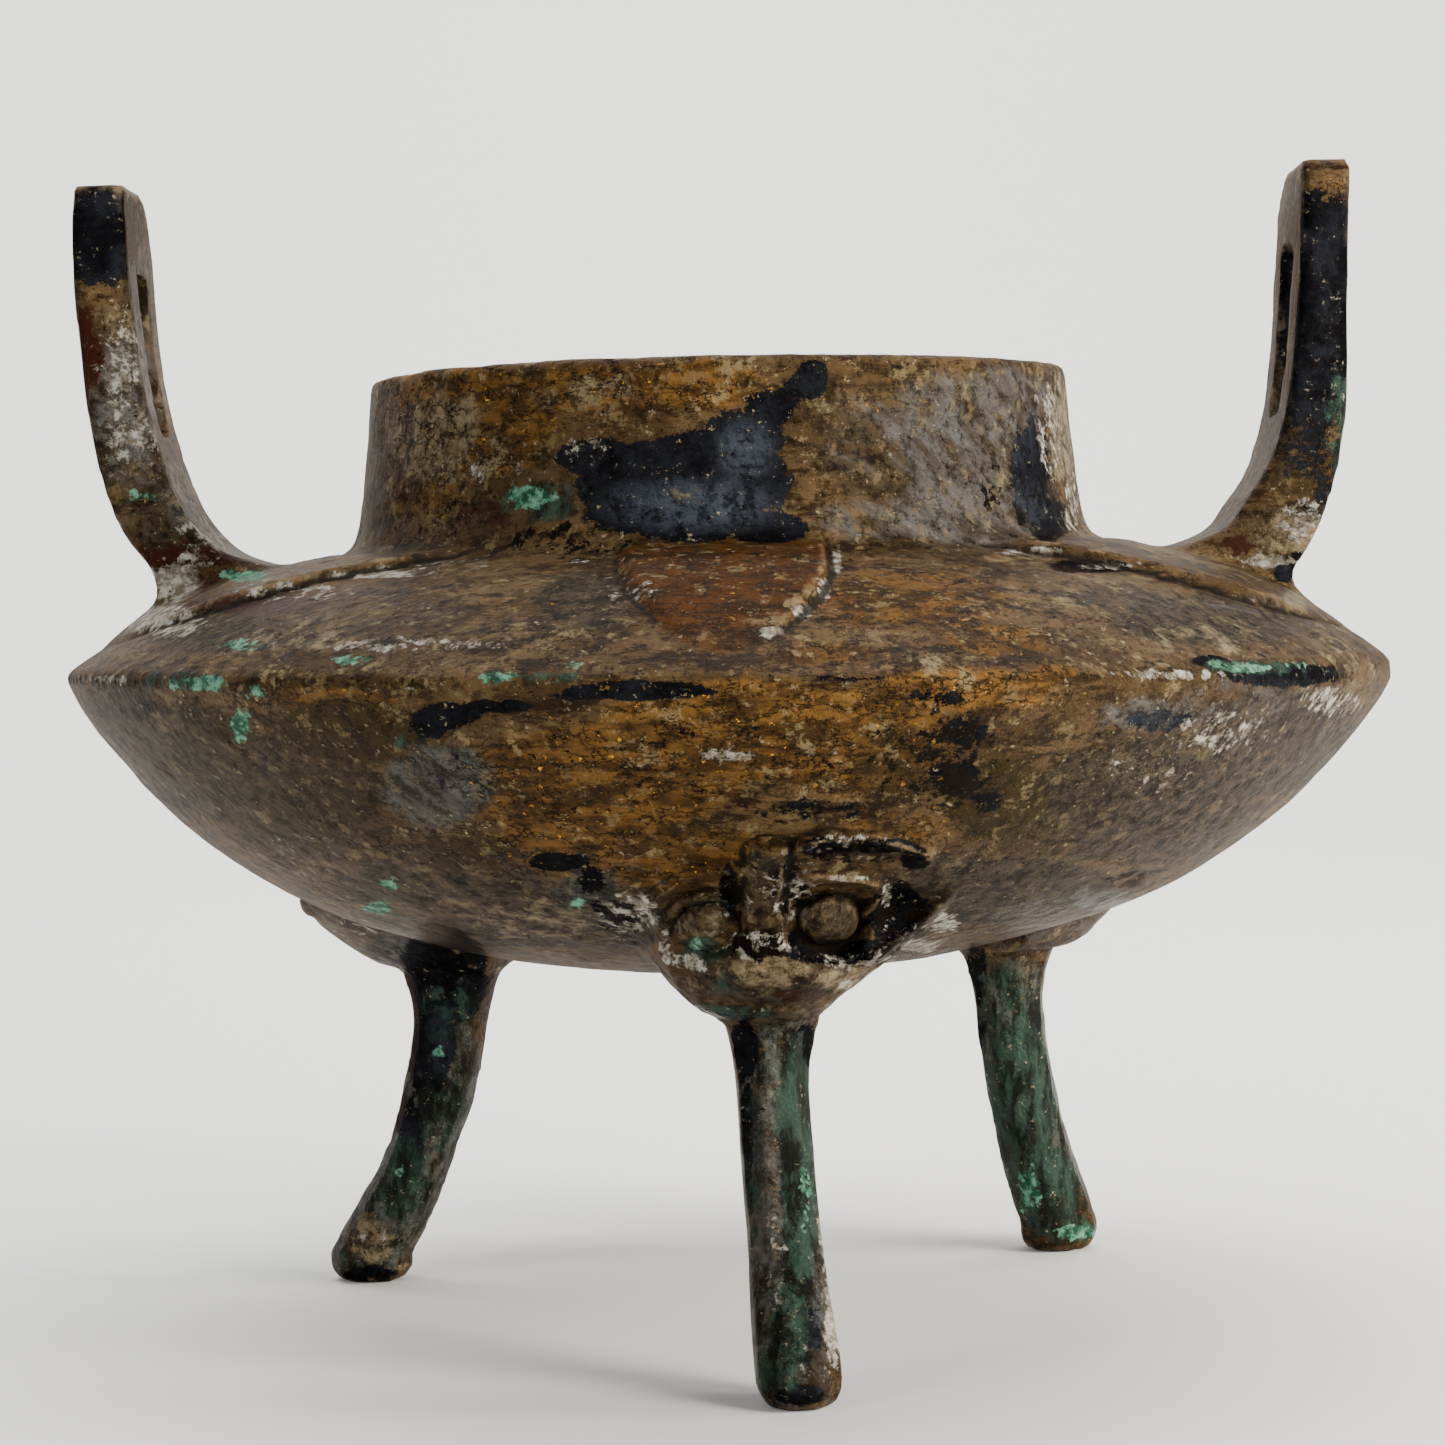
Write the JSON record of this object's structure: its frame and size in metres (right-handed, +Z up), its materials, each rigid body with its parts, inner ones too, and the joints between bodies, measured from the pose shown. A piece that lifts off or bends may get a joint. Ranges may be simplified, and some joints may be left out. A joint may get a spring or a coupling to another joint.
{
  "type": "bronze ding vessel",
  "caption": "Cast bronze tripod vessel: lens-shaped belly with a sharp edge, short open neck, upright slotted handles and slender outward-curving legs below animal masks.",
  "frame": {"origin": "on the ground under the middle of the belly, midway between its left and right and its front and back extremes", "axes": "+Z up through the mouth, +X towards the right handle and +Y away from the side with the front leg"},
  "size_m": [0.2, 0.2, 0.1735],
  "materials": {
    "bronze": "old bronze with a brown, blue-black and green patina, satin"
  },
  "bodies": {
    "root": {"ding": "bronze"}
  },
  "joints": []
}
